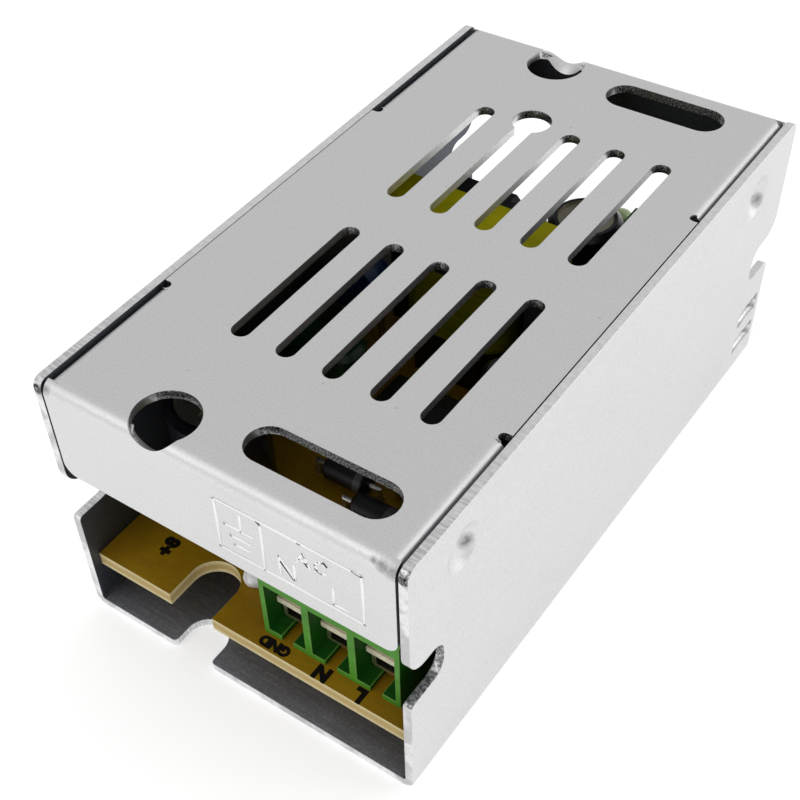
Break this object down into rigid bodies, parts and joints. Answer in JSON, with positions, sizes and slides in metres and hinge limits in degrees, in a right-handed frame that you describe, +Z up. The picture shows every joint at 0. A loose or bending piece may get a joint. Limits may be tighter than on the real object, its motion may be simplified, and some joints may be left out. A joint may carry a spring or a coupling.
{
  "type": "enclosed switch-mode power supply",
  "caption": "Small enclosed mains power supply in a folded aluminium tray with a slotted cover and green screw terminals at both ends",
  "frame": {"origin": "middle of the underside of the tray", "axes": "+X to the right seen from the mains end, +Y from the mains end towards the output end, +Z up out of the cover"},
  "size_m": [0.039, 0.07, 0.031],
  "materials": {
    "case_aluminium": "satin",
    "board_laminate": "matte",
    "terminal_green": "satin",
    "plated_metal": "satin",
    "ferrite_black": "matte",
    "tape_yellow": "gloss",
    "plastic_black": "satin",
    "sleeve_dark": "gloss",
    "lacquer_tan": "satin",
    "lacquer_black": "satin",
    "lacquer_blue": "gloss",
    "lacquer_green": "gloss",
    "lamp_green": "gloss",
    "silicone_white": "satin"
  },
  "bodies": {
    "case": {"chassis": "case_aluminium", "cover": "case_aluminium", "circuit_board": "board_laminate", "ac_terminal_housing": "terminal_green", "dc_terminal_housing": "terminal_green", "ac_terminal_contacts": "plated_metal", "dc_terminal_contacts": "plated_metal", "transformer_core_lower": "ferrite_black", "transformer_core_upper": "ferrite_black", "transformer_tape": "tape_yellow", "transformer_bobbin": "plastic_black", "transformer_winding": "tape_yellow", "bulk_capacitor": "sleeve_dark", "output_capacitor": "sleeve_dark", "supply_capacitor": "sleeve_dark", "rectifier_diodes": "plastic_black", "fuse_resistor": "lacquer_tan", "resistors": "lacquer_tan", "thermistor": "lacquer_black", "bridging_capacitor": "lacquer_blue", "film_capacitor": "lacquer_green", "switching_chip": "plastic_black", "optocoupler": "plastic_black", "output_rectifier": "plastic_black", "voltage_reference": "plastic_black", "output_choke": "ferrite_black", "indicator_lamp": "lamp_green", "silicone_dab": "silicone_white"},
    "ac_screw_1": {"ac_clamp_screw_1": "plated_metal"},
    "ac_screw_2": {"ac_clamp_screw_2": "plated_metal"},
    "ac_screw_3": {"ac_clamp_screw_3": "plated_metal"},
    "dc_screw_1": {"dc_clamp_screw_1": "plated_metal"},
    "dc_screw_2": {"dc_clamp_screw_2": "plated_metal"},
    "ac_cage_1": {"ac_clamp_cage_1": "plated_metal"},
    "ac_cage_2": {"ac_clamp_cage_2": "plated_metal"},
    "ac_cage_3": {"ac_clamp_cage_3": "plated_metal"},
    "dc_cage_1": {"dc_clamp_cage_1": "plated_metal"},
    "dc_cage_2": {"dc_clamp_cage_2": "plated_metal"}
  },
  "joints": [
    {"name": "ac_screw_turn_1", "type": "hinge", "parent": "case", "child": "ac_screw_1", "pos_m": [0.0038, -0.0282, 0.015], "axis": [0, 0, 1], "range_deg": [-1296, 0]},
    {"name": "ac_cage_lift_1", "type": "slide", "parent": "case", "child": "ac_cage_1", "axis": [0, 0, 1], "range_m": [0, 0.0018]},
    {"name": "ac_screw_turn_2", "type": "hinge", "parent": "case", "child": "ac_screw_2", "pos_m": [0.0088, -0.0282, 0.015], "axis": [0, 0, 1], "range_deg": [-1296, 0]},
    {"name": "ac_cage_lift_2", "type": "slide", "parent": "case", "child": "ac_cage_2", "axis": [0, 0, 1], "range_m": [0, 0.0018]},
    {"name": "ac_screw_turn_3", "type": "hinge", "parent": "case", "child": "ac_screw_3", "pos_m": [0.0138, -0.0282, 0.015], "axis": [0, 0, 1], "range_deg": [-1296, 0]},
    {"name": "ac_cage_lift_3", "type": "slide", "parent": "case", "child": "ac_cage_3", "axis": [0, 0, 1], "range_m": [0, 0.0018]},
    {"name": "dc_screw_turn_1", "type": "hinge", "parent": "case", "child": "dc_screw_1", "pos_m": [0.01265, 0.0284, 0.015], "axis": [0, 0, 1], "range_deg": [-1296, 0]},
    {"name": "dc_cage_lift_1", "type": "slide", "parent": "case", "child": "dc_cage_1", "axis": [0, 0, 1], "range_m": [0, 0.0018]},
    {"name": "dc_screw_turn_2", "type": "hinge", "parent": "case", "child": "dc_screw_2", "pos_m": [0.00765, 0.0284, 0.015], "axis": [0, 0, 1], "range_deg": [-1296, 0]},
    {"name": "dc_cage_lift_2", "type": "slide", "parent": "case", "child": "dc_cage_2", "axis": [0, 0, 1], "range_m": [0, 0.0018]}
  ],
  "couplings": [
    {"joint": "ac_screw_turn_1", "follows": "ac_cage_lift_1", "rad_per_m": -12566},
    {"joint": "ac_screw_turn_2", "follows": "ac_cage_lift_2", "rad_per_m": -12566},
    {"joint": "ac_screw_turn_3", "follows": "ac_cage_lift_3", "rad_per_m": -12566},
    {"joint": "dc_screw_turn_1", "follows": "dc_cage_lift_1", "rad_per_m": -12566},
    {"joint": "dc_screw_turn_2", "follows": "dc_cage_lift_2", "rad_per_m": -12566}
  ]
}
